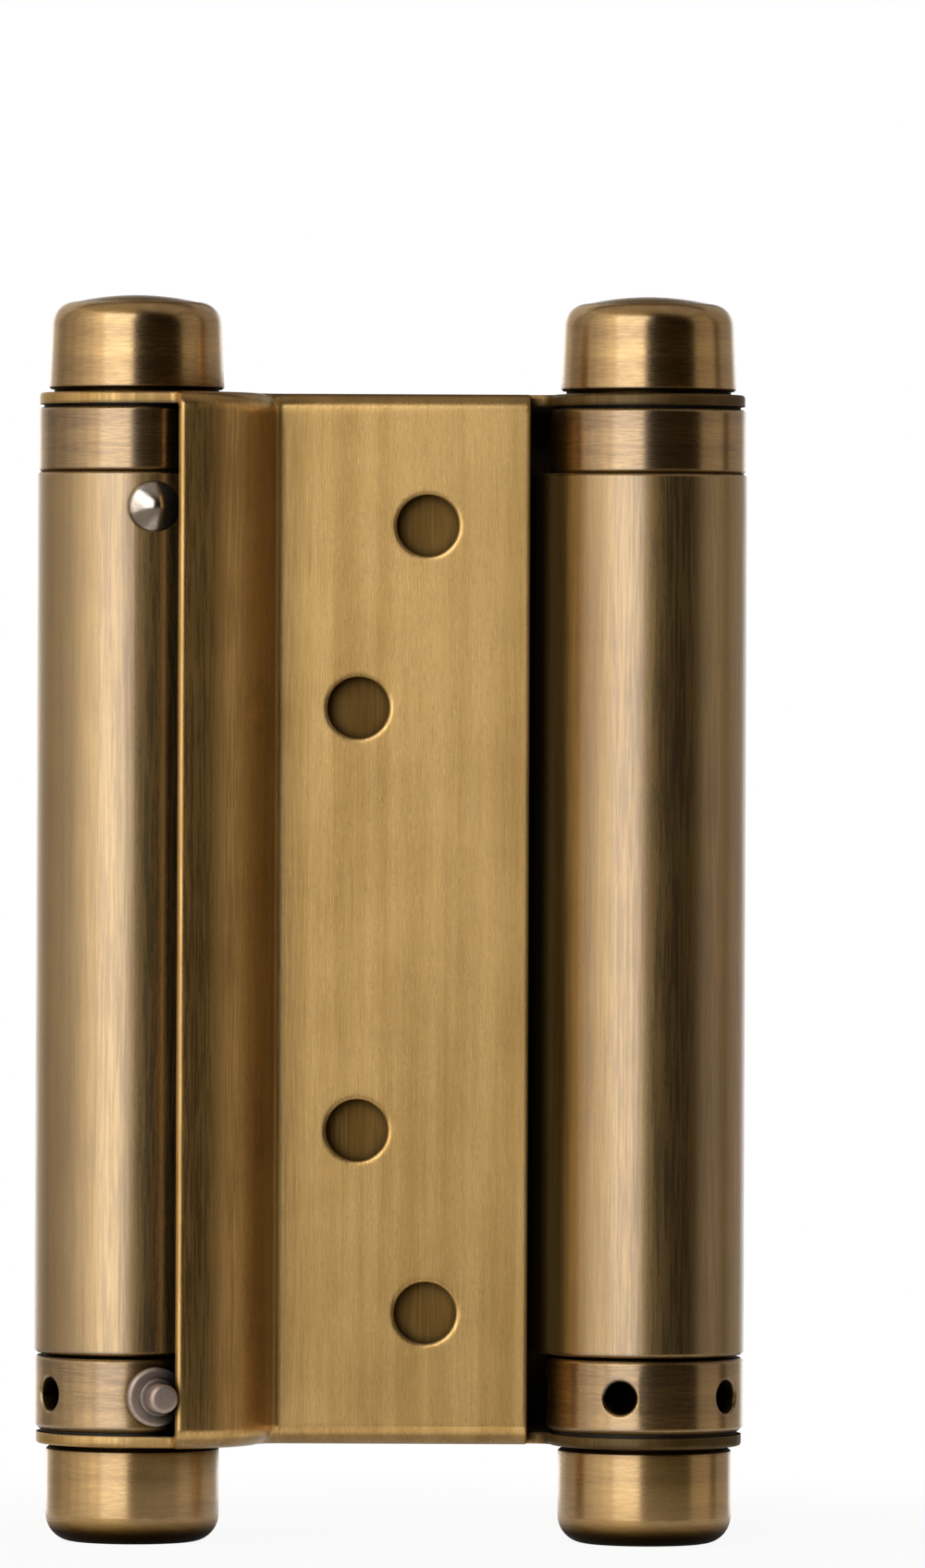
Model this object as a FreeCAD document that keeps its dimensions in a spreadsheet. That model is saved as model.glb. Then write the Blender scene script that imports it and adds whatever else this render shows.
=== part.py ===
import FreeCAD, Part
import math
import os
import re

import Sketcher
from FreeCAD import Placement, Rotation, Vector

# Double action cafe hinge, closed. Millimetres and degrees. Z is up, X runs from the door barrel to
# the jamb barrel, and the door leaf is on the -Y side. The jamb side is the door side turned by half
# a turn about Z, so both sides come from the same functions. Angles round a barrel are counted from
# its front, towards the middle of the hinge.
SIZES = {
    # the two barrels
    "axis_spacing": 48.8,       # between the two spindles
    "barrel_od": 18.8,
    "barrel_edge": 0.3,         # broken edge of a barrel rim
    "sheet": 1.1,               # thickness of all three leaves
    "seam_gap": 0.4,            # where the rolled sheet closes on itself
    "web_fillet": 0.9,
    # one folded leaf
    "leaf_height": 100.0,
    "leaf_gap": 1.8,            # far edge of the leaf to the other barrel
    "panel_front": 2.5,         # spindle plane to the outer face of the screw panel
    "flange_back": 0.3,         # spindle plane to the edge of the folded flange
    "bend_radius": 1.8,         # outside of the fold
    "cover_step": 1.75,         # outside of the curve that covers the barrel, over the barrel
    "cover_x": 2.3,             # its centre, from the spindle
    "cover_y": -0.8,
    "foot_radius": 0.8,         # where the curve meets the panel
    "ear_inset": 0.2,           # rim of an ear, in from the barrel
    "ear_fillet": 1.2,
    "ear_relief": 0.6,          # inside corner between ear and leaf edge
    "edge_round": 0.3,
    "screw_dia": 5.9,
    "screw_round": 0.3,
    "countersink": 0.45,
    "outer_screw_x": 27.8,
    "outer_screw_z": 37.45,
    "inner_screw_x": 21.25,
    "inner_screw_z": 20.1,
    # spindle, washers and caps
    "spindle_dia": 6.0,
    "spindle_fit": 0.05,        # radial clearance in what turns on the spindle
    "press_fit": 0.02,          # radial clearance in what is pressed on
    "spindle_chamfer": 0.5,
    "washer": 0.3,
    "washer_inset": 0.5,        # rim of a washer, in from the rim of the collars
    "cap_gap": 0.35,            # height of the small shoulder under a cap
    "cap_groove": 0.5,          # how far the shoulder is set in from the cap
    "cap_height": 9.0,
    "cap_socket": 6.0,
    "cap_edge": 0.2,            # broken edge at the open end of a cap
    "top_cap_dia": 16.7,
    "top_cap_taper": 0.25,
    "top_cap_corner": 2.2,
    "top_cap_dome": 26.0,
    "bottom_cap_dia": 16.5,
    "bottom_cap_corner": 2.6,
    # collars at the ends of a barrel
    "collar_inset": 0.1,        # rim of the anchor bush, in from the barrel
    "collar_chamfer": 0.25,
    "tension_inset": 0.025,     # rim of the tension collar, in from the barrel
    "tension_chamfer": 0.45,    # lower rim of the tension collar
    "anchor_height": 6.1,
    "tension_height": 6.95,
    "collar_gap": 0.3,          # barrel to tension collar
    "spigot_length": 8.0,
    "spigot_fit": 0.1,
    "bar_hole": 3.2,            # radial tommy bar holes
    "bar_hole_edge": 0.2,       # broken edge of a bar hole
    "bar_holes": 5,
    "bar_hole_floor": 5.0,      # where a bar hole ends, from the spindle axis
    # anchor rivet and tension pin
    "rivet_angle": 9.5,
    "rivet_drop": 3.4,          # below the top of the barrel
    "rivet_shank": 3.0,
    "rivet_head": 4.9,
    "rivet_height": 1.35,
    "shank_fit": 0.05,
    "door_pin_angle": 14.0,
    "jamb_pin_angle": 20.0,
    "pin_flange": 5.6,
    "pin_flange_height": 0.95,
    "pin_boss": 3.5,
    "pin_boss_height": 0.75,
    "pin_tip": 2.7,
    "pin_tip_length": 2.4,
    "pin_clearance": 0.1,       # pin to leaf edge
    # spring
    "wire": 2.4,
    "coil_fit": 0.6,            # outside of the coil to the barrel
    "coil_turns": 18,
    "coil_end_gap": 0.4,
    "tang_depth": 4.0,
    "tang_fit": 0.2,
}

# Sizes that follow from others, so that the pieces round a barrel keep together.
FOLLOWING = {
    "leaf_reach": "axis_spacing - barrel_od / 2 - leaf_gap",    # spindle to the far edge of the leaf
    "cover_radius": "barrel_od / 2 + cover_step",
    "ear_radius": "barrel_od / 2 - ear_inset",
    "collar_od": "barrel_od - 2 * collar_inset",
    "tension_od": "barrel_od - 2 * tension_inset",
    "coil_dia": "barrel_od - 2 * sheet - 2 * coil_fit - wire",  # to the middle of the wire
}

doc = FreeCAD.newDocument("double_action_hinge")
sheet = doc.addObject("Spreadsheet::Sheet", "Sizes")
contents = {**SIZES, **{alias: "=" + formula for alias, formula in FOLLOWING.items()}}
for row, (alias, content) in enumerate(contents.items(), start=1):
    sheet.set(f"A{row}", alias)
    sheet.set(f"B{row}", str(content))
    sheet.setAlias(f"B{row}", alias)
doc.recompute()

# Heights in the stack, from the middle of the leaf.
EAR_INSIDE = "(leaf_height / 2 - sheet)"
COLLAR_END = f"({EAR_INSIDE} - washer)"
BARREL_TOP = f"({COLLAR_END} - anchor_height)"
TENSION_TOP = f"(tension_height - {COLLAR_END})"
BARREL_BOTTOM = f"({TENSION_TOP} + collar_gap)"
ANCHOR_SPIGOT = f"({BARREL_TOP} - spigot_length)"
TENSION_SPIGOT = f"({TENSION_TOP} + spigot_length)"
PIN_HEIGHT = f"({TENSION_TOP} - tension_height / 2)"
RIVET_HEIGHT = f"({BARREL_TOP} - rivet_drop)"
BORE = "(spindle_dia / 2 + spindle_fit)"
BARREL_BORE = "(barrel_od / 2 - sheet)"


def cells(expression):
    """The expression with every size name pointing at its cell."""
    return re.sub(r"[a-z_]+", lambda m: "Sizes." + m[0] if m[0] in contents else m[0], expression)


def value(expression):
    return float(sheet.evalExpression(cells(expression)))


def bind(item, name, expression):
    item.setExpression(name, cells(expression))


def body_named(label):
    body = doc.addObject("PartDesign::Body", label)
    body.Label = label
    return body


def origin(body, role):
    return next(item for item in body.Origin.OriginFeatures if item.Role == role)


def sketch_on(body, role, name, lift):
    sketch = body.newObject("Sketcher::SketchObject", name)
    sketch.AttachmentSupport = [(origin(body, role), "")]
    sketch.MapMode = "FlatFace"
    if lift:
        bind(sketch, ".AttachmentOffset.Base.z", lift)
    return sketch


def pin_point(sketch, geometry, point, x, y):
    """Ties a sketch point to two expressions."""
    for kind, expression in (("DistanceX", x), ("DistanceY", y)):
        rule = Sketcher.Constraint(kind, -1, 1, geometry, point, value(expression))
        bind(sketch, f"Constraints[{sketch.addConstraint(rule)}]", expression)


def arc_between(a, b, radius, turn):
    """Arc from a to b: turn 1 or -1 goes left or right, 2 or -2 the long way round."""
    chord = b - a
    rise = math.sqrt(max(radius ** 2 - chord.Length ** 2 / 4, 0.0))
    side = Vector(-chord.y, chord.x, 0).normalize()
    centre = (a + b) / 2 + side * (rise if turn in (1, -2) else -rise)
    first, last = (a, b) if turn > 0 else (b, a)
    low = math.atan2(first.y - centre.y, first.x - centre.x)
    high = math.atan2(last.y - centre.y, last.x - centre.x)
    high += 2 * math.pi if high <= low else 0.0
    return Part.ArcOfCircle(Part.Circle(centre, Vector(0, 0, 1), radius), low, high)


def outline(body, role, name, corners, lift=None):
    """A closed sketch. A corner is (x, y), or (x, y, radius, turn) where an arc leaves it."""
    sketch = sketch_on(body, role, name, lift)
    spots = [Vector(value(c[0]), value(c[1]), 0) for c in corners]
    runs = []
    for i, corner in enumerate(corners):
        a, b = spots[i], spots[(i + 1) % len(spots)]
        if len(corner) == 2:
            runs.append((sketch.addGeometry(Part.LineSegment(a, b)), 1, 2))
            continue
        arc = sketch.addGeometry(arc_between(a, b, value(corner[2]), corner[3]))
        runs.append((arc, 1, 2) if corner[3] > 0 else (arc, 2, 1))
    for i, (geometry, start, end) in enumerate(runs):
        following = runs[(i + 1) % len(runs)]
        sketch.addConstraint(Sketcher.Constraint("Coincident", geometry, end, *following[:2]))
    for corner, (geometry, start, end) in zip(corners, runs):
        pin_point(sketch, geometry, start, corner[0], corner[1])
        if len(corner) == 4:
            rule = Sketcher.Constraint("Radius", geometry, value(corner[2]))
            bind(sketch, f"Constraints[{sketch.addConstraint(rule)}]", corner[2])
    return sketch


def circles(body, role, name, rings, lift=None):
    """A sketch of circles, each (x, y, diameter)."""
    sketch = sketch_on(body, role, name, lift)
    for x, y, diameter in rings:
        middle = Vector(value(x), value(y), 0)
        ring = sketch.addGeometry(Part.Circle(middle, Vector(0, 0, 1), value(diameter) / 2))
        pin_point(sketch, ring, 3, x, y)
        rule = Sketcher.Constraint("Diameter", ring, value(diameter))
        bind(sketch, f"Constraints[{sketch.addConstraint(rule)}]", diameter)
    return sketch


def box_outline(body, role, name, x0, y0, x1, y1, lift=None):
    return outline(body, role, name, [(x0, y0), (x1, y0), (x1, y1), (x0, y1)], lift)


def extrude(body, kind, sketch, length=None, symmetric=False, flip=False):
    """Pad or pocket; without a length a pocket goes right through."""
    feature = body.newObject("PartDesign::" + kind, kind)
    feature.Profile = sketch
    feature.Midplane = symmetric
    feature.Reversed = flip
    if length:
        bind(feature, "Length", length)
    else:
        feature.Type = "ThroughAll"
    doc.recompute()
    return feature


def turned(label, role, axis, corners):
    """A turned piece from its half profile."""
    body = body_named(label)
    profile = outline(body, role, "Profile", corners)
    turn = body.newObject("PartDesign::Revolution", "Revolution")
    turn.Profile = profile
    turn.ReferenceAxis = (profile, [axis])
    turn.Angle = 360
    doc.recompute()
    return body


def dress(body, kind, size, test):
    """Fillet or chamfer on the edges of the last feature that pass the test."""
    base = body.Tip
    names = [f"Edge{i}" for i, edge in enumerate(base.Shape.Edges, start=1) if test(edge)]
    feature = body.newObject("PartDesign::" + kind, kind)
    feature.Base = (base, names)
    bind(feature, "Radius" if kind == "Fillet" else "Size", size)
    body.Tip = feature
    doc.recompute()
    return feature


def near(a, b):
    return abs(a - b) < 1e-4


def radius_of(edge):
    return edge.Curve.Radius if isinstance(edge.Curve, Part.Circle) else 0.0


def ends(edge):
    return [vertex.Point for vertex in edge.Vertexes]


def level(edge, height):
    """True for an edge that lies at plus or minus this height."""
    return all(near(abs(p.z), height) for p in ends(edge)) and near(ends(edge)[0].z, ends(edge)[-1].z)


def put(item, side, angle="0", height="0"):
    """Places a sub-part on its side's spindle axis."""
    bind(item, ".Placement.Base.x", f"{side['way']} * axis_spacing / 2")
    bind(item, ".Placement.Base.z", height)
    bind(item, ".Placement.Rotation.Angle", f"{side['half_turn']} + {angle}")


def leaf(label, side):
    """One folded leaf: screw panel, curved cover, flanges at both ends and an ear on each."""
    body = body_named(label)
    pin = side["pin"]
    lean = f"(pin_tip / 2 + pin_clearance - cover_x * cos({pin}) - cover_y * sin({pin}))"
    edge_angle = f"({pin} + asin({lean} / cover_radius) / 1 deg)"
    foot_y = "(panel_front + foot_radius + cover_y)"
    reach = f"sqrt((cover_radius + foot_radius)^2 - {foot_y}^2)"

    def cover(radius, angle):
        return f"cover_x + ({radius}) * sin({angle})", f"cover_y - ({radius}) * cos({angle})"

    def cover_end(radius):
        share = f"({radius}) / (cover_radius + foot_radius)"
        return f"cover_x + {share} * {reach}", f"cover_y - {share} * {foot_y}"

    # Plan of the folded blank: cover, foot, panel, flange edge, ear.
    ear_meet = "sqrt((ear_radius + ear_fillet)^2 - (ear_fillet - flange_back)^2)"
    ear_share = "ear_radius / (ear_radius + ear_fillet)"
    inner_x = f"(cover_x + (ear_radius + cover_y) * tan({edge_angle}))"
    relief = f"(ear_relief * tan(45 - {edge_angle} / 2))"
    plan = outline(body, "XY_Plane", "Plan", [
        (*cover("cover_radius", edge_angle), "cover_radius", 1),
        (*cover_end("cover_radius"), "foot_radius", -1),
        (f"cover_x + {reach}", "-panel_front"),
        ("leaf_reach", "-panel_front"),
        ("leaf_reach", "-flange_back"),
        (ear_meet, "-flange_back", "ear_fillet", -1),
        (f"{ear_share} * {ear_meet}", f"{ear_share} * (ear_fillet - flange_back)", "ear_radius", 2),
        ("0", "-ear_radius"),
        (f"{inner_x} - {relief}", "-ear_radius", "ear_relief", -1),
        (f"{inner_x} + {relief} * sin({edge_angle})", f"-ear_radius - {relief} * cos({edge_angle})"),
    ])
    extrude(body, "Pad", plan, "leaf_height", symmetric=True)
    top = value("leaf_height / 2")

    def on_front(edge, height, offset):
        """True for the edges that run along the cover, the foot and the panel."""
        if not level(edge, height):
            return False
        if near(radius_of(edge), value("cover_radius") - offset):
            return True
        if near(radius_of(edge), value("foot_radius") + offset):
            return ends(edge)[0].y < value("-flange_back") - 0.2
        return all(near(p.y, offset - value("panel_front")) for p in ends(edge))

    dress(body, "Fillet", "bend_radius", lambda edge: on_front(edge, top, 0.0))

    # The inside of the fold, one sheet thickness in from the plan.
    inside = outline(body, "XY_Plane", "Inside", [
        (*cover("cover_radius - sheet", "-30"), "cover_radius - sheet", 1),
        (*cover_end("cover_radius - sheet"), "foot_radius + sheet", -1),
        (f"cover_x + {reach}", "sheet - panel_front"),
        ("leaf_reach + ear_radius", "sheet - panel_front"),
        ("leaf_reach + ear_radius", "2 * ear_radius"),
        ("-2 * ear_radius", "2 * ear_radius"),
        ("-2 * ear_radius", cover("cover_radius - sheet", "-30")[1]),
    ])
    extrude(body, "Pocket", inside, "leaf_height - 2 * sheet", symmetric=True)
    thick = value("sheet")
    dress(body, "Fillet", "bend_radius - sheet", lambda edge: on_front(edge, top - thick, thick))

    bore = circles(body, "XY_Plane", "Bore", [("0", "0", f"2 * {BORE}")])
    extrude(body, "Pocket", bore, symmetric=True)
    screws = circles(body, "XZ_Plane", "Screws", [
        ("outer_screw_x", "outer_screw_z", "screw_dia"),
        ("inner_screw_x", "inner_screw_z", "screw_dia"),
        ("inner_screw_x", "-inner_screw_z", "screw_dia"),
        ("outer_screw_x", "-outer_screw_z", "screw_dia"),
    ])
    extrude(body, "Pocket", screws, symmetric=True)
    dress(body, "Chamfer", "countersink", lambda edge: (
        near(radius_of(edge), value("screw_dia / 2"))
        and near(ends(edge)[0].y, value("sheet - panel_front"))))
    dress(body, "Fillet", "screw_round", lambda edge: (
        near(radius_of(edge), value("screw_dia / 2"))
        and near(ends(edge)[0].y, value("-panel_front"))))

    def outside(face):
        """True for the faces of the outer skin: flange, bend, cover, foot and panel."""
        skin, spot = face.Surface, face.Vertexes[0].Point
        if isinstance(skin, Part.Plane):
            return near(abs(spot.z), top) and near(abs(skin.Axis.z), 1) or (
                near(spot.y, -value("panel_front")) and near(abs(skin.Axis.y), 1))
        if isinstance(skin, Part.Cylinder) and near(abs(skin.Axis.z), 1):
            return any(near(skin.Radius, value(name)) for name in ("cover_radius", "foot_radius"))
        bend = getattr(skin, "MinorRadius", getattr(skin, "Radius", 0.0))
        return near(bend, value("bend_radius"))

    solid = body.Tip.Shape
    round_holes = [value(BORE), value("screw_dia / 2")]
    dress(body, "Fillet", "edge_round", lambda edge: (
        [outside(face) for face in solid.ancestorsOfType(edge, Part.Face)].count(True) == 1
        and not any(near(radius_of(edge), radius) for radius in round_holes)))
    put(body, side)
    return body


def centre_leaf():
    """The middle sheet: a flat web rolled into a barrel at each end."""
    body = body_named("centre_leaf")
    half, wide = "sheet / 2", "(sheet / 2 + seam_gap)"

    def roll(sign):
        """One barrel's share of the outline, starting inside it on the face of the web."""
        other = "" if sign == "-" else "-"

        def on(radius, y, y_sign):
            return f"{sign}(axis_spacing / 2 - sqrt({radius}^2 - {y}^2))", f"{y_sign}{y}"

        return [
            (*on(BARREL_BORE, f"({half})", sign), BARREL_BORE, 2),
            on(BARREL_BORE, wide, sign),
            (*on("(barrel_od / 2)", wide, sign), "barrel_od / 2", -2),
            on("(barrel_od / 2)", f"({half})", other),
        ]

    plan = outline(body, "XY_Plane", "Plan", roll("-") + roll("+"), BARREL_BOTTOM)
    extrude(body, "Pad", plan, f"{BARREL_TOP} - {BARREL_BOTTOM}")
    root = value("axis_spacing / 2 - sqrt((barrel_od / 2)^2 - (sheet / 2)^2)")
    dress(body, "Fillet", "web_fillet", lambda edge: (
        near(abs(ends(edge)[0].x), root) and near(ends(edge)[0].x, ends(edge)[-1].x)
        and near(ends(edge)[0].y, ends(edge)[-1].y)
        and near(abs(ends(edge)[0].y), value(half))))
    rims = [value(BARREL_TOP), value(BARREL_BOTTOM)]
    dress(body, "Chamfer", "barrel_edge", lambda edge: (
        near(radius_of(edge), value("barrel_od / 2"))
        and any(near(ends(edge)[0].z, height) for height in rims)))
    for way, half_turn in (("-1", "0"), ("1", "180")):
        drill = body.newObject("PartDesign::SubtractiveCylinder", "RivetHole")
        bind(drill, "Radius", "rivet_shank / 2 + shank_fit")
        bind(drill, "Height", "barrel_od")
        drill.Placement = Placement(Vector(), Rotation(Vector(0, 1, 0), 90))
        turn = f"({half_turn} + rivet_angle - 90)"
        bind(drill, ".Placement.Base.x", f"{way} * axis_spacing / 2")
        bind(drill, ".Placement.Base.z", RIVET_HEIGHT)
        bind(drill, ".Placement.Rotation", f"create(<<rotation>>; {turn}; 90; 0)")
        doc.recompute()
    return body


def cap_socket_profile(way, diameter):
    """The shoulder, the seat and the spindle socket shared by both caps; way is 1 up, -1 down."""
    seat = f"{way} * leaf_height / 2"
    socket = f"{way} * (leaf_height / 2 + cap_gap + cap_socket)"
    ledge = f"{way} * (leaf_height / 2 + cap_gap)"
    hole, shoulder = "spindle_dia / 2 + press_fit", f"{diameter} / 2 - cap_groove"
    return [("0", socket), (hole, socket), (hole, seat), (shoulder, seat), (shoulder, ledge)]


def top_cap(label):
    """Slightly tapered cap with a rounded shoulder and a shallow dome."""
    end = "(leaf_height / 2 + cap_gap + cap_height)"
    wall = "(top_cap_dia / 2 - top_cap_taper)"
    corner_x = f"({wall} - top_cap_corner)"
    drop = f"(top_cap_dome - sqrt(top_cap_dome^2 - {corner_x}^2))"
    return turned(label, "XZ_Plane", "V_Axis", cap_socket_profile("1", "top_cap_dia") + [
        ("top_cap_dia / 2 - cap_edge", "leaf_height / 2 + cap_gap"),
        ("top_cap_dia / 2", "leaf_height / 2 + cap_gap + cap_edge"),
        (wall, f"{end} - {drop} - top_cap_corner", "top_cap_corner", 1),
        (corner_x, f"{end} - {drop}", "top_cap_dome", 1),
        ("0", end),
    ])


def bottom_cap(label):
    """Straight cap with a rounded edge and a flat end."""
    end = "-(leaf_height / 2 + cap_gap + cap_height)"
    return turned(label, "XZ_Plane", "V_Axis", cap_socket_profile("-1", "bottom_cap_dia") + [
        ("bottom_cap_dia / 2 - cap_edge", "-leaf_height / 2 - cap_gap"),
        ("bottom_cap_dia / 2", "-leaf_height / 2 - cap_gap - cap_edge"),
        ("bottom_cap_dia / 2", f"{end} + bottom_cap_corner", "bottom_cap_corner", -1),
        ("bottom_cap_dia / 2 - bottom_cap_corner", end),
        ("0", end),
    ])


def spindle(label):
    end = "(leaf_height / 2 + cap_gap + cap_socket)"
    slim = "spindle_dia / 2 - spindle_chamfer"
    return turned(label, "XZ_Plane", "V_Axis", [
        ("0", f"-{end}"), (slim, f"-{end}"), ("spindle_dia / 2", f"spindle_chamfer - {end}"),
        ("spindle_dia / 2", f"{end} - spindle_chamfer"), (slim, end), ("0", end),
    ])


def washer(label, low, high):
    rim = "collar_od / 2 - washer_inset"
    return turned(label, "XZ_Plane", "V_Axis", [(BORE, low), (rim, low), (rim, high), (BORE, high)])


def collar(label, diameter, low, low_edge, high, spigot):
    """A collar with chamfered rims and a spigot in the barrel; spigot is the height it reaches."""
    rim, tip = f"{diameter} / 2", f"({BARREL_BORE} - spigot_fit)"
    up = value(spigot) > value(high)
    edge = [(f"{rim} - {low_edge}", low), (rim, f"{low} + {low_edge}"),
            (rim, f"{high} - collar_chamfer"), (f"{rim} - collar_chamfer", high)]
    if up:
        profile = [(BORE, low)] + edge + [(tip, high), (tip, spigot), (BORE, spigot)]
    else:
        profile = [(BORE, spigot), (tip, spigot), (tip, low)] + edge + [(BORE, high)]
    return turned(label, "XZ_Plane", "V_Axis", profile)


def tang_slot(body, face, flip):
    """Slot for the end of the spring, in the face of the spigot on the -X side."""
    room = "(wire / 2 + tang_fit)"
    slot = box_outline(body, "XY_Plane", "TangSlot", f"-coil_dia / 2 - {room}", f"-2 * {room}",
                       f"-coil_dia / 2 + {room}", f"2 * {room}", face)
    extrude(body, "Pocket", slot, "tang_depth", flip=flip)


def anchor_bush(label):
    body = collar(label, "collar_od", BARREL_TOP, "collar_chamfer", COLLAR_END, ANCHOR_SPIGOT)
    hole = circles(body, "YZ_Plane", "RivetHole",
                   [("0", RIVET_HEIGHT, "rivet_shank + 2 * shank_fit")], "bar_hole_floor")
    extrude(body, "Pocket", hole, flip=True)
    tang_slot(body, ANCHOR_SPIGOT, True)
    return body


def tension_collar(label):
    """Collar with its ring of bar holes, drilled from outside towards the spindle."""
    body = collar(label, "tension_od", f"-{COLLAR_END}", "tension_chamfer", TENSION_TOP, TENSION_SPIGOT)
    hole = circles(body, "YZ_Plane", "BarHole", [("0", PIN_HEIGHT, "bar_hole")], "bar_hole_floor")
    drill = extrude(body, "Pocket", hole, flip=True)
    ring = body.newObject("PartDesign::PolarPattern", "BarHoles")
    ring.Originals = [drill]
    ring.Axis = (origin(body, "Z_Axis"), [""])
    ring.Angle = 360
    bind(ring, "Occurrences", "bar_holes")
    body.Tip = ring
    doc.recompute()
    solid = body.Tip.Shape

    def around(edge, size):
        """True for an edge of a cylinder of this diameter."""
        return any(isinstance(face.Surface, Part.Cylinder) and near(2 * face.Surface.Radius, value(size))
                   for face in solid.ancestorsOfType(edge, Part.Face))

    dress(body, "Chamfer", "bar_hole_edge", lambda edge: (
        around(edge, "tension_od") and around(edge, "bar_hole")))
    tang_slot(body, TENSION_SPIGOT, False)
    return body


def rivet(label):
    """Round head on the barrel, shank into the spigot of the anchor bush."""
    base, shank = "barrel_od / 2", "rivet_shank / 2"
    dome = "((rivet_head / 2)^2 + rivet_height^2) / (2 * rivet_height)"
    start = "bar_hole_floor + shank_fit"
    return turned(label, "XZ_Plane", "H_Axis", [
        (start, "0"), (start, shank), (base, shank), (base, "rivet_head / 2", dome, -1),
        (f"{base} + rivet_height", "0"),
    ])


def tension_pin(label):
    """Stepped pin: shank in a bar hole, flange on the collar, tip against the leaf edge."""
    base, start = "tension_od / 2", "bar_hole_floor + 2 * shank_fit"
    shank = "bar_hole / 2 - shank_fit"
    flange = f"({base} + pin_flange_height)"
    boss = f"({flange} + pin_boss_height)"
    tip = f"({boss} + pin_tip_length)"
    return turned(label, "XZ_Plane", "H_Axis", [
        (start, "0"), (start, shank), (base, shank), (base, "pin_flange / 2"),
        (f"{flange} - collar_chamfer", "pin_flange / 2"), (flange, "pin_flange / 2 - collar_chamfer"),
        (flange, "pin_boss / 2"), (boss, "pin_boss / 2"), (boss, "pin_tip / 2"),
        (f"{tip} - collar_chamfer", "pin_tip / 2"), (tip, "pin_tip / 2 - collar_chamfer"), (tip, "0"),
    ])


def spring(label, side):
    """Square wire coil built from flat faces, with a straight tang at each end."""
    wire, mean = value("wire"), value("coil_dia / 2")
    low = value(f"{TENSION_SPIGOT} + coil_end_gap + wire / 2")
    high = value(f"{ANCHOR_SPIGOT} - coil_end_gap - wire / 2")
    start = value(f"{side['pin']} + 90")
    sweep = 360 * value("coil_turns") + value("rivet_angle") - value(side["pin"])
    steps = 12 * int(value("coil_turns"))

    def section(share):
        """Corners of the wire at one place, in order round it."""
        angle = math.radians(start + share * sweep)
        height = low + share * (high - low)
        return [Vector(r * math.cos(angle), r * math.sin(angle), height + rise) for r, rise in (
            (mean - wire / 2, -wire / 2), (mean + wire / 2, -wire / 2),
            (mean + wire / 2, wire / 2), (mean - wire / 2, wire / 2))]

    def face(*points):
        return Part.Face(Part.makePolygon([*points, points[0]]))

    rows = [section(i / steps) for i in range(steps + 1)]
    faces = [face(*rows[0]), face(*rows[-1])]
    for a, b in zip(rows, rows[1:]):
        for k in range(4):
            j = (k + 1) % 4
            faces += [face(a[k], a[j], b[j]), face(a[k], b[j], b[k])]
    coil = Part.makeSolid(Part.makeShell(faces))

    def tang(angle, back, foot, length):
        """The bent end: it stands on the last section and runs on away from the coil."""
        bar = Part.makeBox(wire, wire, length, Vector(mean - wire / 2, -wire if back else 0.0, foot))
        bar.rotate(Vector(), Vector(0, 0, 1), angle)
        return bar

    reach = value("coil_end_gap + tang_depth") + wire
    ends_of_coil = [tang(start, True, low + wire / 2 - reach, reach),
                    tang(start + sweep, False, high - wire / 2, reach)]
    item = doc.addObject("Part::Feature", label)
    item.Label = label
    item.Shape = coil.fuse(ends_of_coil).removeSplitter()
    put(item, side)
    return item


SIDES = (
    {"name": "door", "way": "-1", "half_turn": "0", "pin": "door_pin_angle"},
    {"name": "jamb", "way": "1", "half_turn": "180", "pin": "jamb_pin_angle"},
)
nodes = [centre_leaf()]
for side in SIDES:
    name, pin_turn = side["name"], f"{side['pin']} - 90"
    nodes.append(leaf(f"{name}_leaf", side))
    nodes.append(spring(f"{name}_spring", side))
    placed = [
        (spindle(f"{name}_spindle"), "0", "0"),
        (top_cap(f"{name}_top_cap"), "0", "0"),
        (bottom_cap(f"{name}_bottom_cap"), "0", "0"),
        (washer(f"{name}_top_washer", COLLAR_END, EAR_INSIDE), "0", "0"),
        (washer(f"{name}_bottom_washer", f"-{EAR_INSIDE}", f"-{COLLAR_END}"), "0", "0"),
        (anchor_bush(f"{name}_anchor_bush"), "rivet_angle - 90", "0"),
        (rivet(f"{name}_anchor_rivet"), "rivet_angle - 90", RIVET_HEIGHT),
        (tension_collar(f"{name}_tension_collar"), pin_turn, "0"),
        (tension_pin(f"{name}_tension_pin"), pin_turn, PIN_HEIGHT),
    ]
    for item, angle, height in placed:
        put(item, side, angle, height)
        nodes.append(item)
doc.recompute()

for item in doc.Objects:
    if {"Invalid", "Error"} & set(item.State):
        raise RuntimeError(f"{item.Label} did not compute: {item.State}")
os.makedirs("parts", exist_ok=True)
for node in nodes:
    if node.Shape.isNull() or not node.Shape.isValid():
        raise RuntimeError(f"{node.Label} has no valid shape")
    node.Shape.exportStep(f"parts/{node.Label}.step")
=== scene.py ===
# %% [markdown]
# # A double action cafe hinge in brushed antique brass
# The hinge lets a light door swing both ways and brings it back to the middle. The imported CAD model
# is the frame: its solids already have the right shape and place, so this lesson is mostly about
# finish and light. Every length is in metres, as in the frame. The hinge stands upright, its
# spindles run along Z, and the door leaf faces the camera on the -Y side.

# %% Load the frame
import math
from collections import namedtuple

import bpy
import numpy as np
from mathutils import Matrix, Vector


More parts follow.
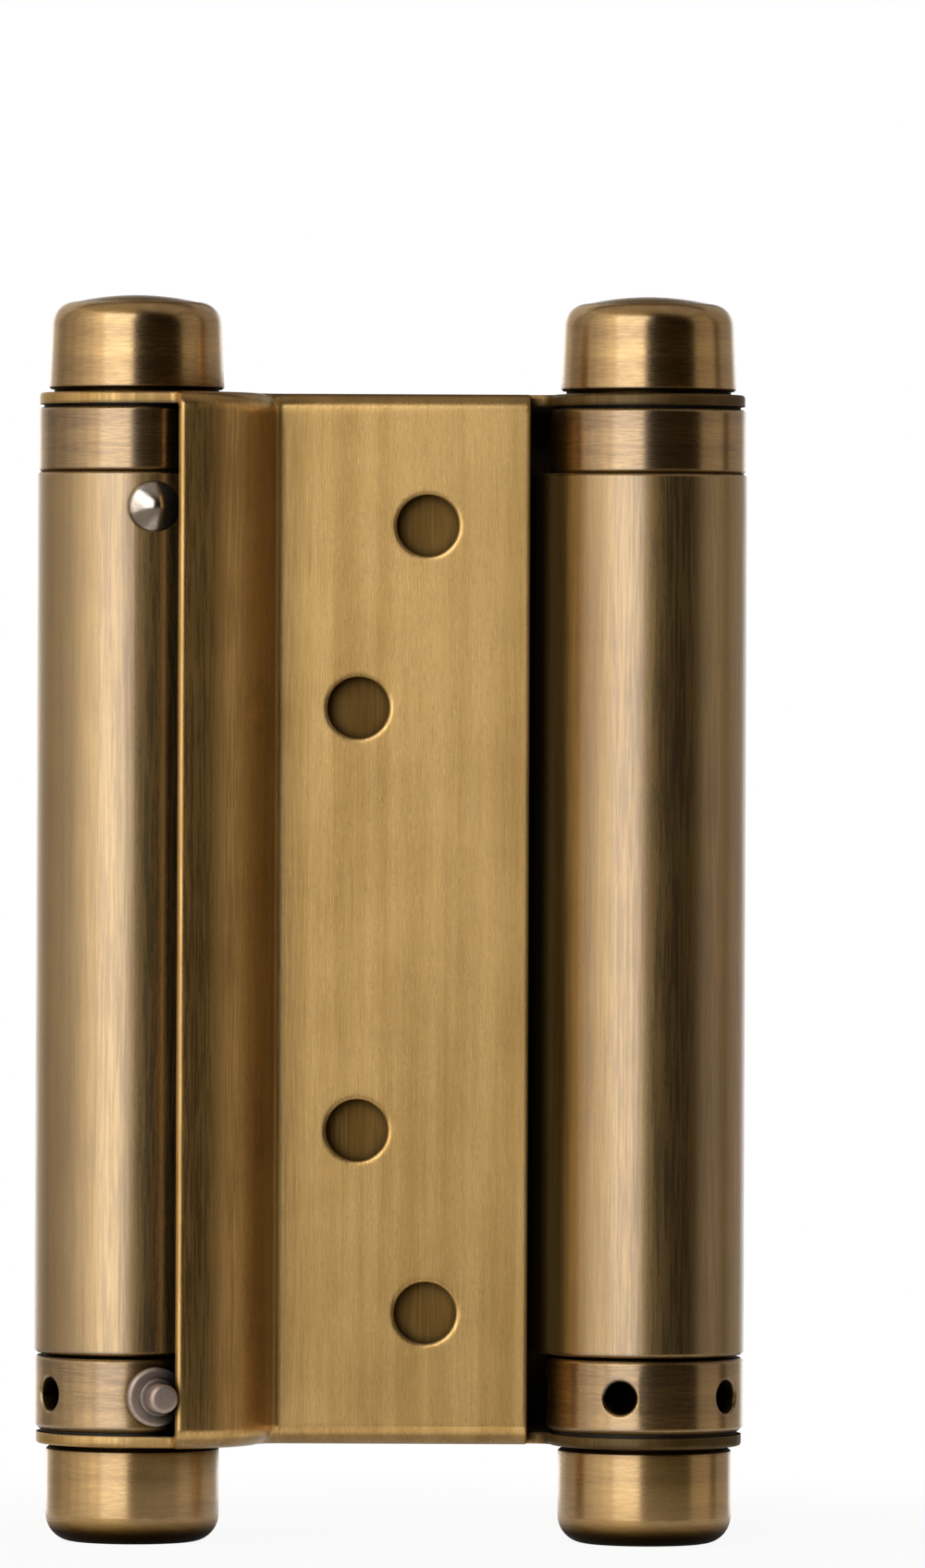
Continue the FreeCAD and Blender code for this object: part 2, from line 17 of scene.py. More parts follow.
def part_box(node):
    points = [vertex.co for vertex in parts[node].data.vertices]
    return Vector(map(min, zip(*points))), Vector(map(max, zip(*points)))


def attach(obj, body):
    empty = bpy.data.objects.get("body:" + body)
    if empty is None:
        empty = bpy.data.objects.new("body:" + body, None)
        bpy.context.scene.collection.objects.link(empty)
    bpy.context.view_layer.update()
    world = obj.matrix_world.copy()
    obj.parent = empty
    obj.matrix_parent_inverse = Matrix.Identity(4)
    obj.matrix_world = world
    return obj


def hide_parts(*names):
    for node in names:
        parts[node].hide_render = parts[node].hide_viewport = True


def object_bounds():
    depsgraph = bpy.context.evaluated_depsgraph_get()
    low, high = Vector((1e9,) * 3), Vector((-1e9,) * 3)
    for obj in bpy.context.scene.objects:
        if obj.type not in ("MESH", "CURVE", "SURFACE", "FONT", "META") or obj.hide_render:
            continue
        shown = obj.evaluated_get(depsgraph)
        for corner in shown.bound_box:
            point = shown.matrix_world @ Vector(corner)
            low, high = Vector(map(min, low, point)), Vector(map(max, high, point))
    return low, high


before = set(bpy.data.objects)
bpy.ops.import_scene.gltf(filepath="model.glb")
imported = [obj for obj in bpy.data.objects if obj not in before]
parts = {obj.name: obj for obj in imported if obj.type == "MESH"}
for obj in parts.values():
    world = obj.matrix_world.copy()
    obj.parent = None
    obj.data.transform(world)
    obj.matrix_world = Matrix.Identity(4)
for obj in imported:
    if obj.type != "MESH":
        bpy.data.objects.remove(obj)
cad_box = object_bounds()
scene = bpy.context.scene
MM = 0.001
print("nodes", len(parts), "box", [[round(v / MM, 1) for v in corner] for corner in cad_box], "mm")

# %% [markdown]
# ## Where the spindles are
# Everything on a barrel is turned about its spindle, so the spindles are the reference for the
# patterns below. Their places are read from the frame and not typed in, so that they follow the
# model when a size changes.

# %% Spindles and barrels
SIDES = ("door", "jamb")
UP = Vector((0.0, 0.0, 1.0))


def middle(node):
    """Centre of a CAD node's box."""
    low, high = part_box(node)
    return (Vector(low) + Vector(high)) / 2


spindle = {side: middle(f"{side}_spindle") for side in SIDES}
BARREL_RADIUS = (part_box("centre_leaf")[1][1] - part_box("centre_leaf")[0][1]) / 2
print("spindles at x", [round(spindle[side].x / MM, 2) for side in SIDES], "mm")
print("barrel radius", round(BARREL_RADIUS / MM, 2), "mm")

# %% [markdown]
# ## Helpers for shader trees
# A material is a small graph of nodes, and written out in full each node takes several lines. These
# helpers add a node with its inputs in one line, so that each finish below reads as a list of steps.

# %% Node helpers
def feed(tree, socket, term):
    """Links a socket to another one, or gives it a plain number, vector or colour."""
    if isinstance(term, bpy.types.NodeSocket):
        tree.links.new(term, socket)
    else:
        socket.default_value = term


def step(tree, kind, inputs=None, **options):
    """Adds a node. Options are its own properties, and inputs go by socket name or number."""
    node = tree.nodes.new(kind)
    for name, setting in options.items():
        setattr(node, name, setting)
    for name, term in (inputs or {}).items():
        feed(tree, node.inputs[name], term)
    return node


def math_step(tree, operation, *terms, clamp=False):
    """One arithmetic step on sockets or plain numbers."""
    node = step(tree, "ShaderNodeMath", dict(enumerate(terms)), operation=operation, use_clamp=clamp)
    return node.outputs[0]


def vector_step(tree, operation, *terms):
    """One step on vectors. Lengths and dot products come out as a number."""
    node = step(tree, "ShaderNodeVectorMath", dict(enumerate(terms)), operation=operation)
    return node.outputs["Value" if operation in ("LENGTH", "DOT_PRODUCT") else "Vector"]


print("helpers", [helper.__name__ for helper in (feed, step, math_step, vector_step)])

# %% [markdown]
# ## Ramps, blends and groups
# A smooth ramp turns a noise or a distance into a mask, and a blend uses that mask to mix two
# colours. What several finishes share goes into a node group with named sockets, which is built
# once and placed in each material with its own values.

# %% Ramps, blends and groups
def ramp(tree, source, low, high, to_low=0.0, to_high=1.0):
    """A smooth step from one range to another."""
    inputs = {"Value": source, "From Min": low, "From Max": high, "To Min": to_low, "To Max": to_high}
    return step(tree, "ShaderNodeMapRange", inputs, interpolation_type="SMOOTHSTEP").outputs[0]


def blend_colours(tree, factor, *colours):
    """Mixes two colours, each a socket or an RGB triple."""
    first, second = (c if isinstance(c, bpy.types.NodeSocket) else (*c, 1.0) for c in colours)
    return step(tree, "ShaderNodeMix", {0: factor, 6: first, 7: second}, data_type="RGBA").outputs[2]


def parted(tree, place):
    """The X, Y and Z of a vector."""
    return step(tree, "ShaderNodeSeparateXYZ", {0: place}).outputs


def group_tree(name, inputs, outputs):
    """An empty shader node group, whose sockets are given by label and kind."""
    tree = bpy.data.node_groups.new(name, "ShaderNodeTree")
    for way, sockets in (("INPUT", inputs), ("OUTPUT", outputs)):
        for label, kind in sockets.items():
            tree.interface.new_socket(label, in_out=way, socket_type=f"NodeSocket{kind}")
    return tree, tree.nodes.new("NodeGroupInput").outputs, tree.nodes.new("NodeGroupOutput").inputs


def place_group(tree, group, inputs):
    """Puts a group into a material, with its own values."""
    return step(tree, "ShaderNodeGroup", inputs, node_tree=group).outputs


print("helpers", [helper.__name__ for helper in (ramp, blend_colours, parted, group_tree, place_group)])

# %% [markdown]
# ## Brush marks
# Brushing leaves scratches that are long one way and narrow the other. Noise stretched along the
# brushing gives them: broad soft streaks for the tone, and hairlines for the tone and the bump. The
# group takes coordinates that are already stretched, so straight and turned brushing share it.

# %% Brush mark group
BROAD_NOISE = {"Scale": 0.11, "Detail": 5.0, "Roughness": 0.62}
FINE_NOISE = {"Scale": 1.4, "Detail": 3.0, "Roughness": 0.7}
BROAD_SPAN, FINE_SPAN = (0.36, 0.64), (0.34, 0.66)      # the part of the noise that makes a mark
BROAD_HEIGHT = 0.35                                     # of a streak, against a hairline's

brush_marks, given, result = group_tree(
    "brush_marks", {"Vector": "Vector"}, {"Streaks": "Float", "Hairlines": "Float", "Height": "Float"})
broad, fine = (step(brush_marks, "ShaderNodeTexNoise", {"Vector": given["Vector"], **noise}).outputs["Fac"]
               for noise in (BROAD_NOISE, FINE_NOISE))
feed(brush_marks, result["Streaks"], ramp(brush_marks, broad, *BROAD_SPAN))
feed(brush_marks, result["Hairlines"], ramp(brush_marks, fine, *FINE_SPAN))
feed(brush_marks, result["Height"], math_step(brush_marks, "MULTIPLY_ADD", broad, BROAD_HEIGHT, fine))
print(brush_marks.name, len(brush_marks.nodes), "nodes")

# %% [markdown]
# ## Turned coordinates
# Caps, collars, rivets and pins were finished on a lathe, so their scratches run round the axis.
# The group turns centred coordinates into a direction round the axis, which changes slowly, and
# the height plus the radius, which changes fast, so the same noise becomes rings. A direction has
# no seam, which an angle would have.

# %% Turned coordinate group
turned_marks, given, result = group_tree(
    "turned_marks", {"Vector": "Vector", "Width": "Float", "Spread": "Float"}, {"Vector": "Vector"})
flat = vector_step(turned_marks, "MULTIPLY", given["Vector"], (1.0, 1.0, 0.0))
radius = vector_step(turned_marks, "LENGTH", flat)
around = vector_step(turned_marks, "NORMALIZE", flat)
around = vector_step(turned_marks, "MULTIPLY", around, given["Spread"])
climb = math_step(turned_marks, "ADD", parted(turned_marks, given["Vector"])["Z"], radius)
rings = math_step(turned_marks, "DIVIDE", climb, given["Width"])
lifted = step(turned_marks, "ShaderNodeCombineXYZ", {"Z": rings}).outputs[0]
feed(turned_marks, result["Vector"], vector_step(turned_marks, "ADD", around, lifted))
print(turned_marks.name, len(turned_marks.nodes), "nodes")

# %% [markdown]
# ## Age and painted shade
# Antique brass is darkened and then rubbed back: edges are rubbed to pale metal, and recesses are
# painted dark, partly as patina and partly as painted shade. A bevelled normal differs from the true
# one only near an edge, which gives the edge mask, and ambient occlusion gives the recess mask of
# painted shade. Cloudy noise stands for uneven rubbing. The bevelled normal also goes out, because no
# edge of the real sheet is perfectly sharp.

# %% Age group
CLOUD_NOISE = {"Scale": 110.0, "Detail": 3.0, "Roughness": 0.55}
EDGE_SPAN = (0.995, 0.85)       # likeness of the two normals, from a flat face to an edge
SCUFF_SPAN = (0.3, 0.6)         # clouds where an edge was rubbed
RECESS_SPAN = (0.9, 0.35)       # openness, from a free face to a deep corner
RAY_COUNT = 6

wear_and_shade_marks, given, result = group_tree(
    "wear_and_shade_marks", {"Vector": "Vector", "Edge Width": "Float", "Recess Depth": "Float"},
    {"Edge": "Float", "Recess": "Float", "Cloud": "Float", "Rounded": "Vector"})
rounded = step(wear_and_shade_marks, "ShaderNodeBevel", {"Radius": given["Edge Width"]}, samples=RAY_COUNT).outputs[0]
true_normal = step(wear_and_shade_marks, "ShaderNodeNewGeometry").outputs["Normal"]
edges = ramp(wear_and_shade_marks, vector_step(wear_and_shade_marks, "DOT_PRODUCT", rounded, true_normal), *EDGE_SPAN)
cloud = step(wear_and_shade_marks, "ShaderNodeTexNoise", {"Vector": given["Vector"], **CLOUD_NOISE}).outputs["Fac"]
# Ambient occlusion: the recess mask, which is painted shade in corners as well as patina.
occlusion = step(wear_and_shade_marks, "ShaderNodeAmbientOcclusion", {"Distance": given["Recess Depth"]},
                 samples=RAY_COUNT).outputs["AO"]
feed(wear_and_shade_marks, result["Edge"], math_step(wear_and_shade_marks, "MULTIPLY", edges, ramp(wear_and_shade_marks, cloud, *SCUFF_SPAN)))
feed(wear_and_shade_marks, result["Recess"], ramp(wear_and_shade_marks, occlusion, *RECESS_SPAN))
feed(wear_and_shade_marks, result["Cloud"], cloud)
feed(wear_and_shade_marks, result["Rounded"], rounded)
print(wear_and_shade_marks.name, len(wear_and_shade_marks.nodes), "nodes")

# %% [markdown]
# ## Ways of brushing
# The sheet was brushed straight up, and the round pieces were turned. Each way is a function that
# gives the stretched coordinates, so that one recipe for metal can take either. A Mapping node
# puts the pattern on the piece's own axis, and the coordinates stay the object's.

# %% Brushing directions
def brushed_up(width, length):
    """Brushing along Z: the place over a scratch's width across it and over its length along it."""
    def marks(tree, place):
        inputs = {"Vector": place, "Scale": (1 / width, 1 / width, 1 / length)}
        return step(tree, "ShaderNodeMapping", inputs).outputs[0]

    return marks


def turned_about(centre, axis, width, spread):
    """Rings about an axis through a centre: the place is turned so that the axis becomes Z."""
    def marks(tree, place):
        inputs = {"Vector": place, "Location": centre, "Rotation": axis.to_track_quat("Z", "Y").to_euler()}
        own = step(tree, "ShaderNodeMapping", inputs, vector_type="TEXTURE").outputs[0]
        return place_group(tree, turned_marks, {"Vector": own, "Width": width, "Spread": spread})["Vector"]

    return marks


print("brushing", [way.__name__ for way in (brushed_up, turned_about)])

# %% [markdown]
# ## The colour of a brushed metal
# Streaks, hairlines and clouds move the colour between rubbed and aged metal, and edges go towards
# bare metal. One texture for all of it could not be scaled to a cap and to a leaf, so the colour is
# mixed from the marks of the groups above.

# %% Brushed colour
HAIRLINE_SHARE, STREAK_SHARE, CLOUD_SHARE, EDGE_SHARE = 0.32, 0.42, 0.2, 0.6
CLOUD_SPAN = (0.3, 0.7)


def brushed_colour(tree, brush, wear_and_shade, fresh, aged, bare):
    """Aged to fresh metal by the sum of the marks, then bare metal on the rubbed edges."""
    cloudy = ramp(tree, wear_and_shade["Cloud"], *CLOUD_SPAN, 0.0, CLOUD_SHARE)
    streaked = math_step(tree, "MULTIPLY_ADD", brush["Streaks"], STREAK_SHARE, cloudy)
    tone = math_step(tree, "MULTIPLY_ADD", brush["Hairlines"], HAIRLINE_SHARE, streaked, clamp=True)
    colour = blend_colours(tree, tone, aged, fresh)
    return blend_colours(tree, math_step(tree, "MULTIPLY", wear_and_shade["Edge"], EDGE_SHARE), colour, bare)


print("shares of the tone", HAIRLINE_SHARE, STREAK_SHARE, CLOUD_SHARE)

# %% [markdown]
# ## A recipe for every metal on the hinge
# Recesses and the places given painted shade go dark, partly as patina and partly as painted shade,
# and are duller. The highlight is drawn out across the brushing by the shader's anisotropy, because
# hairlines finer than a pixel can't be drawn. A thin lacquer lies on top, except where the metal is dull.

# %% Metal recipe
Lacquer = namedtuple("Lacquer", "weight gloss haze")
# Painted shade and patina: the share of the aged colour left where the dark masks are full.
PATINA_AND_SHADE_SHARE = 0.04             # of the aged colour that is left in the dark
DULL_ROUGHNESS = 0.6
LACQUER_LOST = 0.45             # dullness at which no lacquer is left
HAIRLINE_SWING = 0.04           # of the roughness
HAIRLINE_DEPTH = 0.02 * MM


def start_material(name):
    """A new material, with its tree, its metal shader and the Object coordinates."""
    material = bpy.data.materials.new(name)
    material.use_nodes = True
    tree = material.node_tree
    tree.nodes.clear()
    shader = step(tree, "ShaderNodeBsdfPrincipled", {"Metallic": 1.0})
    step(tree, "ShaderNodeOutputMaterial", {"Surface": shader.outputs[0]})
    return material, tree, shader.inputs, step(tree, "ShaderNodeTexCoord").outputs["Object"]


def metal(name, marks, tones, roughness, stretch, turn, relief, lacquer=None, shade_and_dull=None,
          recess=4.0 * MM, edge=0.35 * MM):
    """A brushed metal. tones are fresh, aged and bare metal, stretch and turn draw out the highlight,
    and the function for the shade gives two masks, of where shade is painted dark and where the metal is
    dull."""
    material, tree, sockets, place = start_material(name)
    brush = place_group(tree, brush_marks, {"Vector": marks(tree, place)})
    wear_and_shade = place_group(tree, wear_and_shade_marks, {"Vector": place, "Edge Width": edge, "Recess Depth": recess})
    # dark is painted shade in recesses and along the masks given below, partly patina; dull is roughness.
    dark = dull = wear_and_shade["Recess"]
    if shade_and_dull:
        dark, dull = (math_step(tree, "MAXIMUM", wear_and_shade["Recess"], mask) for mask in shade_and_dull(tree, place))
    patina_and_shade = tuple(PATINA_AND_SHADE_SHARE * part for part in tones[1])
    colour = blend_colours(tree, dark, brushed_colour(tree, brush, wear_and_shade, *tones), patina_and_shade)
    feed(tree, sockets["Base Color"], colour)
    smooth = ramp(tree, brush["Hairlines"], 0.0, 1.0, roughness + HAIRLINE_SWING, roughness - HAIRLINE_SWING)
    feed(tree, sockets["Roughness"], math_step(tree, "MULTIPLY_ADD", dull, DULL_ROUGHNESS, smooth))
    bump = step(tree, "ShaderNodeBump", {"Height": brush["Height"], "Normal": wear_and_shade["Rounded"]})
    feed(tree, bump.inputs["Strength"], relief)
    feed(tree, bump.inputs["Distance"], HAIRLINE_DEPTH)
    feed(tree, sockets["Normal"], bump.outputs[0])
    feed(tree, sockets["Anisotropic"], stretch)
    feed(tree, sockets["Anisotropic Rotation"], turn)
    if lacquer:
        feed(tree, sockets["Coat Weight"], ramp(tree, dull, 0.0, LACQUER_LOST, lacquer.weight, 0.0))
        feed(tree, sockets["Coat IOR"], lacquer.gloss)
        feed(tree, sockets["Coat Roughness"], lacquer.haze)
    return material


print("recipe", metal.__name__, "with", Lacquer._fields)

# %% [markdown]
# ## Painted shade on the side that faces the leaf
# On each barrel, a strip beside the web lies under the edge of a leaf, in its shade. It is painted dark
# as shade and made dull, and so is the same strip on the bush and the collar. A mask by the distance from
# the middle of the hinge gives it. The web itself is dull all over, and its roots are painted dark as shade.

# %% Barrel masks
INNER_EDGE = spindle["jamb"].x - BARREL_RADIUS
STRIP_START, STRIP_FULL = INNER_EDGE + 3.0 * MM, INNER_EDGE + 1.0 * MM
# The strips beside the leaf edges are painted shade: how dark on a barrel and on a collar.
BARREL_STRIP_SHADE, COLLAR_STRIP_SHADE = 0.85, 0.6      # how dark the strip is
WEB_FILLET = 0.8 * MM
WEB_DULL = 0.9
# The roots of the web, beside the barrels, are painted dark as shade.
ROOT_START, ROOT_FULL, ROOT_SHADE = 8 * MM, 12 * MM, 0.98


def from_spindle(tree, across, deep):
    """Distance from a spindle's axis: the root of the two level distances, squared and added."""
    squares = math_step(tree, "MULTIPLY_ADD", across, across, math_step(tree, "MULTIPLY", deep, deep))
    return math_step(tree, "SQRT", squares)


def painted_strip_shade(strength):
    """The strip of a barrel or a collar that faces the leaf, painted dark as shade and made dull, as both
    masks.
    """
    def masks(tree, place):
        sideways = math_step(tree, "ABSOLUTE", parted(tree, place)["X"])
        strip = ramp(tree, sideways, STRIP_START, STRIP_FULL, 0.0, strength)
        return strip, strip

    return masks


def web_shade_and_dull(tree, place):
    """The painted shade and dullness of the strip on the barrels, and of the web outside them, whose roots
    are painted dark as shade.
    """
    part = parted(tree, place)
    sideways = math_step(tree, "ABSOLUTE", part["X"])
    distance = from_spindle(tree, math_step(tree, "SUBTRACT", sideways, spindle["jamb"].x), part["Y"])
    web = ramp(tree, distance, BARREL_RADIUS, BARREL_RADIUS + WEB_FILLET)
    barrel = math_step(tree, "SUBTRACT", 1.0, web)
    strip = math_step(tree, "MULTIPLY", barrel, painted_strip_shade(BARREL_STRIP_SHADE)(tree, place)[0])
    root = ramp(tree, sideways, ROOT_START, ROOT_FULL, 0.0, ROOT_SHADE)
    return tuple(math_step(tree, "MULTIPLY_ADD", web, share, strip) for share in (root, WEB_DULL))


print("strip", round(STRIP_FULL / MM, 2), "to", round(STRIP_START / MM, 2), "mm from the middle")

# %% [markdown]
# ## Painted shade on the edges of a leaf
# A leaf's ears lie between a cap and a collar, its folds run along the top and the bottom, and the
# far edge of its panel is a plain cut. All three are painted darker than the brushed faces, as painted
# shade. The jamb leaf's ears get more painted shade than the door leaf's.

# %% Leaf masks
EAR_REACH = (11.0 * MM, 9.3 * MM)       # from the spindle
EAR_START = 0.15 * MM                   # under the washer's upper face
# Painted shade on the ears, darker on the jamb leaf's ears.
EAR_SHADE = {"door": 0.3, "jamb": 0.85}
EAR_DULL = 0.3                          # of the darkness
FOLD_REACH = (10.5 * MM, 12.5 * MM)     # from the spindle
# The folds and the cut edge are painted dark as shade too.
FOLD_START, FOLD_FULL, FOLD_SHADE = 1.3 * MM, 0.8 * MM, 0.5
CUT_START, CUT_FULL, CUT_SHADE = 0.25 * MM, 0.05 * MM, 0.9


def leaf_edge_shade(side):
    """Masks of painted shade on a leaf's ears round the spindle, its folds at top and bottom, and its far
    cut edge.
    """
    washer_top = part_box(f"{side}_top_washer")[1][2]
    low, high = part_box(f"{side}_leaf")
    way, far_edge = (1.0, high[0]) if side == "door" else (-1.0, -low[0])

    def masks(tree, place):
        part = parted(tree, place)
        across = math_step(tree, "SUBTRACT", part["X"], spindle[side].x)
        distance = from_spindle(tree, across, part["Y"])
        height = math_step(tree, "ABSOLUTE", part["Z"])
        ear = math_step(tree, "MULTIPLY", ramp(tree, distance, *EAR_REACH),
                        ramp(tree, height, washer_top - EAR_START, washer_top, 0.0, EAR_SHADE[side]))
        fold = math_step(tree, "MULTIPLY", ramp(tree, distance, *FOLD_REACH),
                         ramp(tree, height, high[2] - FOLD_START, high[2] - FOLD_FULL, 0.0, FOLD_SHADE))
        outward_x = math_step(tree, "MULTIPLY", part["X"], way)
        cut = ramp(tree, outward_x, far_edge - CUT_START, far_edge - CUT_FULL, 0.0, CUT_SHADE)
        dark = math_step(tree, "MAXIMUM", math_step(tree, "MAXIMUM", ear, cut), fold)
        return dark, math_step(tree, "MAXIMUM", math_step(tree, "MULTIPLY", ear, EAR_DULL), cut)

    return masks


print("darkness of the ears", EAR_SHADE)

# %% [markdown]
# ## Antique brass
# All brass on the hinge has one recipe with its own colours, which are linear. The leaves are the
# palest: their colour is raised as painted light, for the light that the flat panel gets less of than
# the round pieces, and the turned pieces are darker under an older, glossier lacquer. Aged brass is
# about half as bright as fresh brass, so that the brushing shows.

# %% Brass on leaves and barrels
BARE_BRASS = (0.78, 0.58, 0.31)
# The leaves' colours are raised as painted light.
LEAF_TONES_WITH_PAINTED_LIGHT = ((0.97, 0.62, 0.23), (0.53, 0.305, 0.082), BARE_BRASS)
BARREL_TONES = ((0.50, 0.315, 0.10), (0.265, 0.145, 0.034), BARE_BRASS)

leaf_brass = {side: metal(
    f"{side}_leaf_brass", brushed_up(0.35 * MM, 11 * MM), LEAF_TONES_WITH_PAINTED_LIGHT, roughness=0.285, stretch=0.8, turn=0.0,
    relief=0.16, lacquer=Lacquer(0.3, 1.8, 0.26), shade_and_dull=leaf_edge_shade(side), recess=6.0 * MM, edge=0.5 * MM)
    for side in SIDES}
barrel_brass = metal(
    "barrel_brass", brushed_up(0.40 * MM, 13 * MM), BARREL_TONES, roughness=0.275, stretch=0.8, turn=0.0,
    relief=0.18, lacquer=Lacquer(1.0, 2.1, 0.26), shade_and_dull=web_shade_and_dull, recess=1.6 * MM)
print("brushed", [material.name for material in (*leaf_brass.values(), barrel_brass)])

# %% [markdown]
# ## Turned brass
# The caps, bushes and collars were turned, so their highlight is drawn out along the axis, a quarter
# turn from the brushed sheet's. A bush stays in its barrel and shares the strip of painted shade there.
# A collar turns when the spring is set, so its painted shade is fainter.

# %% Brass on caps, bushes and collars
CAP_TONES = ((0.63, 0.38, 0.105), (0.33, 0.172, 0.03), BARE_BRASS)
COLLAR_TONES = ((0.55, 0.335, 0.105), (0.22, 0.113, 0.025), BARE_BRASS)
QUARTER_TURN = 0.25


def turned_brass(kind, side, tones, gloss, shade_and_dull=None):
    """Lacquered brass with rings about a side's spindle."""
    return metal(
        f"{side}_{kind}_brass", turned_about(spindle[side], UP, 0.22 * MM, 3.0), tones, roughness=0.27,
        stretch=0.75, turn=QUARTER_TURN, relief=0.12, lacquer=Lacquer(1.0, gloss, 0.22), shade_and_dull=shade_and_dull)


cap_brass = {side: turned_brass("cap", side, CAP_TONES, 1.95) for side in SIDES}
collar_brass = {side: turned_brass("collar", side, COLLAR_TONES, 2.0, painted_strip_shade(COLLAR_STRIP_SHADE))
                for side in SIDES}
bush_brass = {side: turned_brass("bush", side, COLLAR_TONES, 2.0, painted_strip_shade(BARREL_STRIP_SHADE))
              for side in SIDES}
print("turned", [brass[side].name for brass in (cap_brass, collar_brass, bush_brass) for side in SIDES])

# %% [markdown]
# ## Nickel and steel
# The rivet heads are bright nickel, and the tension pins are plain turned steel. Spindles are darker
# steel that hardly shows, and the washers are darker still, as painted shade for the narrow gaps beside
# the ears. They use the same recipe without lacquer, each on its own axis: a rivet or a pin points
# straight out from the spindle.

# %% Fastener and steel finishes
NICKEL_TONES = ((0.72, 0.64, 0.57), (0.54, 0.47, 0.41), (0.80, 0.74, 0.67))
PIN_TONES = ((0.64, 0.52, 0.45), (0.42, 0.33, 0.28), (0.72, 0.62, 0.55))
DRAWN_TONES = ((0.55, 0.55, 0.56), (0.38, 0.38, 0.40), (0.62, 0.62, 0.62))
# The washers are painted dark, as shade for the narrow gaps beside the ears.
WASHER_TONES_WITH_PAINTED_SHADE = ((0.24, 0.22, 0.20), (0.14, 0.13, 0.12), (0.40, 0.38, 0.35))


def outward(side, node):
    """Level direction from a side's spindle through a node."""
    way = middle(node) - spindle[side]
    return Vector((way.x, way.y, 0.0)).normalized()


def fastener(node, side, tones, roughness, relief):
    """Bare metal with rings about the fastener's own axis."""
    rings = turned_about(middle(node), outward(side, node), 0.12 * MM, 4.0)
    return metal(f"{node}_metal", rings, tones, roughness, stretch=0.3, turn=QUARTER_TURN, relief=relief)


rivet_nickel = {side: fastener(f"{side}_anchor_rivet", side, NICKEL_TONES, 0.2, 0.3) for side in SIDES}
pin_steel = {side: fastener(f"{side}_tension_pin", side, PIN_TONES, 0.48, 0.5) for side in SIDES}
spindle_steel = metal(
    "spindle_steel", brushed_up(0.3 * MM, 9 * MM), DRAWN_TONES, roughness=0.35, stretch=0.5, turn=0.0,
    relief=0.1)
washer_steel = {side: metal(
    f"{side}_washer_steel", turned_about(spindle[side], UP, 0.2 * MM, 3.0), WASHER_TONES_WITH_PAINTED_SHADE, roughness=0.45,
    stretch=0.4, turn=QUARTER_TURN, relief=0.1) for side in SIDES}
print("rivets point along", [[round(v, 2) for v in outward(s, f"{s}_anchor_rivet")] for s in SIDES])

# %% [markdown]
# ## Dressing the CAD nodes
# The solids stay as they are. Each one gets its material in its own slot, by the kind of piece.

# %% Materials on the nodes
for side in SIDES:
    by_kind = {
        "leaf": leaf_brass[side],
        "spindle": spindle_steel,
        "top_cap": cap_brass[side],
        "bottom_cap": cap_brass[side],
        "anchor_bush": bush_brass[side],
        "anchor_rivet": rivet_nickel[side],
        "tension_collar": collar_brass[side],
        "tension_pin": pin_steel[side],
        "top_washer": washer_steel[side],
        "bottom_washer": washer_steel[side],
    }
    for kind, material in by_kind.items():
        parts[f"{side}_{kind}"].material_slots[0].material = material
parts["centre_leaf"].material_slots[0].material = barrel_brass
print("materials", sorted({part.material_slots[0].material.name for part in parts.values()}))

# %% [markdown]
# ## Surfaces from arrays
# The springs, the rivets and the floor are worked out as whole arrays of points in rows. Each row is
# a ring that closes on itself, so one helper can number the corners of all their faces.

# %% Ring surfaces
def ring_faces(rows, columns):
    """Quads between neighbouring rings: a, its neighbour b, and the two above them on the next ring."""
    row, column = np.meshgrid(np.arange(rows - 1), np.arange(columns), indexing="ij")
    a = row * columns + column
    b = row * columns + (column + 1) % columns
    return np.stack([a, b, b + columns, a + columns], axis=-1).reshape(-1, 4)


def surface(name, verts, faces):
    """An object at the origin with its place in its mesh."""
    mesh = bpy.data.meshes.new(name)
    mesh.from_pydata(verts.reshape(-1, 3).tolist(), [], faces)
    piece = bpy.data.objects.new(name, mesh)
    scene.collection.objects.link(piece)
    return piece


print("faces between 2 rings of 4 points", ring_faces(2, 4).tolist())

# %% [markdown]
# ## The path of a spring
# Inside each barrel a torsion spring of squarish wire runs from the tension collar to the anchor
# bush, and ends in a straight tang in each. A curve with a bevel could make it, but its section would
# twist at the ends. Instead the barrel is unrolled: on the flat sheet the wire's path is a tang, a
# bend, a long straight run, a bend and a tang.

# %% Spring path
WIRE = 2.4 * MM
TURNS = 18
TANG = 6.8 * MM                 # from the far side of the first turn to the tip of the tang
BEND = 1.4 * MM                 # radius at the middle of the wire
TURN_STEPS, BEND_STEPS = 40, 8


def bend_points(angles, first):
    """Points of a bend from its first point: the tangent angles turned a quarter, times the radius."""
    sign = np.sign(angles[-1] - angles[0])
    across = np.stack([np.sin(angles), -np.cos(angles)], axis=1) * sign * BEND
    return first + across - across[0]


def spring_path(length, rise, reach):
    """Middle line of the wire on the unrolled sheet, as points and unit tangents: up the first tang,
    a bend, the run of the coil, a bend and up the last tang."""
    slope, upright = math.atan2(rise, length), math.pi / 2
    share = np.linspace(0.0, 1.0, BEND_STEPS + 1)
    turn_in = upright + (slope - upright) * share
    turn_out = slope + (upright - slope) * share
    cut_back = BEND * math.tan((upright - slope) / 2)
    start, end = np.array([0.0, 0.0]), np.array([length, rise])
    along = np.array([math.cos(slope), math.sin(slope)])
    low_bend = bend_points(turn_in, start - [0.0, cut_back])
    high_bend = bend_points(turn_out, end - along * cut_back)
    run = np.linspace(low_bend[-1], high_bend[0], TURNS * TURN_STEPS + 1)[1:-1]
    points = np.concatenate([[start - [0.0, reach]], low_bend, run, high_bend, [end + [0.0, reach]]])
    angles = np.concatenate([[upright], turn_in, np.full(len(run), slope), turn_out, [upright]])
    return points, np.stack([np.cos(angles), np.sin(angles)], axis=1)


